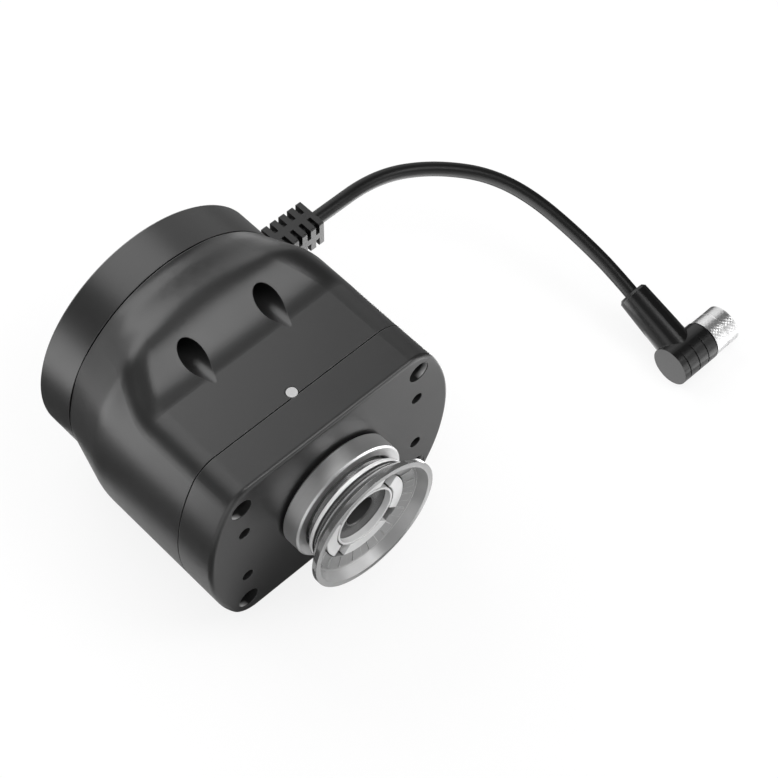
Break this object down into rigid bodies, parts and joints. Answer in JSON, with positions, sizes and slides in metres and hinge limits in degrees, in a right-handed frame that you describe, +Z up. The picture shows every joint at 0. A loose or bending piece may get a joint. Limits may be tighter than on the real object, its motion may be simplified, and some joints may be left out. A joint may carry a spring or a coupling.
{
  "type": "electric suction gripper",
  "caption": "Electric suction gripper: black housing blending from a round bolt flange to a flat front, clear silicone cup, built-in vacuum pump, and a drooping cable with an angled plug.",
  "frame": {"origin": "centre of the flange's mounting face", "axes": "+Y out of the mounting face towards the robot's wrist, so the cup looks along -Y; +Z up through the status light; the cable leaves towards +X"},
  "size_m": [0.1585, 0.0955, 0.068],
  "materials": {
    "black_body": "matt black anodised",
    "collar_metal": "satin turned",
    "seal_rubber": "matt",
    "black_screw": "black oxide",
    "steel": "plain",
    "light_lens": "clear white",
    "silicone": "clear gloss silicone",
    "retainer_plastic": "pale grey",
    "filter_mat": "woven",
    "frame_plastic": "moulded",
    "pump_plastic": "moulded",
    "magnet": "sintered",
    "copper": "wound wire",
    "bronze": "sintered",
    "board_green": "solder mask",
    "chip_black": "moulded",
    "header_white": "moulded",
    "tube_clear": "soft clear",
    "relief_rubber": "matt moulded",
    "cable_jacket": "satin",
    "plug_black": "gloss moulded",
    "nickel": "bright nickel",
    "contact_gold": "plated"
  },
  "bodies": {
    "housing": {"base_flange": "black_body", "main_housing": "black_body", "front_cover": "black_body", "cup_collar": "collar_metal", "flange_gasket": "seal_rubber", "cover_gasket": "seal_rubber", "collar_seal": "seal_rubber", "diaphragm": "seal_rubber", "valve_flaps": "seal_rubber", "housing_screws": "black_screw", "cover_screws": "black_screw", "frame_screws": "steel", "pump_screws": "steel", "strap_screws": "steel", "board_screws": "steel", "manifold_screws": "steel", "motor_can": "steel", "valve_yoke": "steel", "valve_spring": "steel", "status_light_pipe": "light_lens", "status_led": "light_lens", "cup_neck": "silicone", "cup_bellows": "silicone", "cup_retainer": "retainer_plastic", "filter_disc": "filter_mat", "inner_frame": "frame_plastic", "motor_strap": "frame_plastic", "motor_end_cap": "frame_plastic", "board_spacers": "frame_plastic", "pump_crankcase": "pump_plastic", "valve_plate": "pump_plastic", "pump_head": "pump_plastic", "valve_body": "pump_plastic", "vacuum_manifold": "pump_plastic", "motor_magnets": "magnet", "valve_coil": "copper", "motor_bushes": "bronze", "control_board": "board_green", "board_components": "chip_black", "pressure_sensor": "chip_black", "contact_carrier": "chip_black", "cable_header": "header_white", "lead_plug": "header_white", "pump_tube": "tube_clear", "valve_tube": "tube_clear", "strain_relief": "relief_rubber", "cable": "cable_jacket", "inner_lead": "cable_jacket", "plug_body": "plug_black", "plug_contacts": "contact_gold"},
    "crank": {"motor_shaft": "steel", "motor_armature": "steel", "eccentric": "bronze"},
    "rod": {"connecting_rod": "pump_plastic", "diaphragm_screw": "steel"},
    "plunger": {"valve_plunger": "steel", "plunger_seal": "seal_rubber"},
    "lip": {"cup_lip": "silicone"},
    "nut": {"coupling_nut": "nickel"}
  },
  "joints": [
    {"name": "pump_spin", "type": "hinge", "parent": "housing", "child": "crank", "pos_m": [0, -0.0345, -0.00643], "axis": [1, 0, 0], "continuous": true, "deforming": ["diaphragm"]},
    {"name": "rod_orbit", "type": "hinge", "parent": "crank", "child": "rod", "pos_m": [0.0114, -0.0345, -0.00543], "axis": [1, 0, 0], "continuous": true},
    {"name": "cup_compress", "type": "slide", "parent": "housing", "child": "lip", "axis": [0, 1, 0], "range_m": [0, 0.0022], "stiffness_N_per_m": 800, "deforming": ["cup_bellows"]},
    {"name": "vent_open", "type": "slide", "parent": "housing", "child": "plunger", "axis": [1, 0, 0], "range_m": [0, 0.0012], "stiffness_N_per_m": 400, "deforming": ["valve_spring"]},
    {"name": "nut_turn", "type": "hinge", "parent": "housing", "child": "nut", "pos_m": [0.1155, -0.0865, -0.0285], "axis": [1, 0, 0], "continuous": true}
  ],
  "couplings": [
    {"joint": "rod_orbit", "follows": "pump_spin", "ratio": -1}
  ]
}
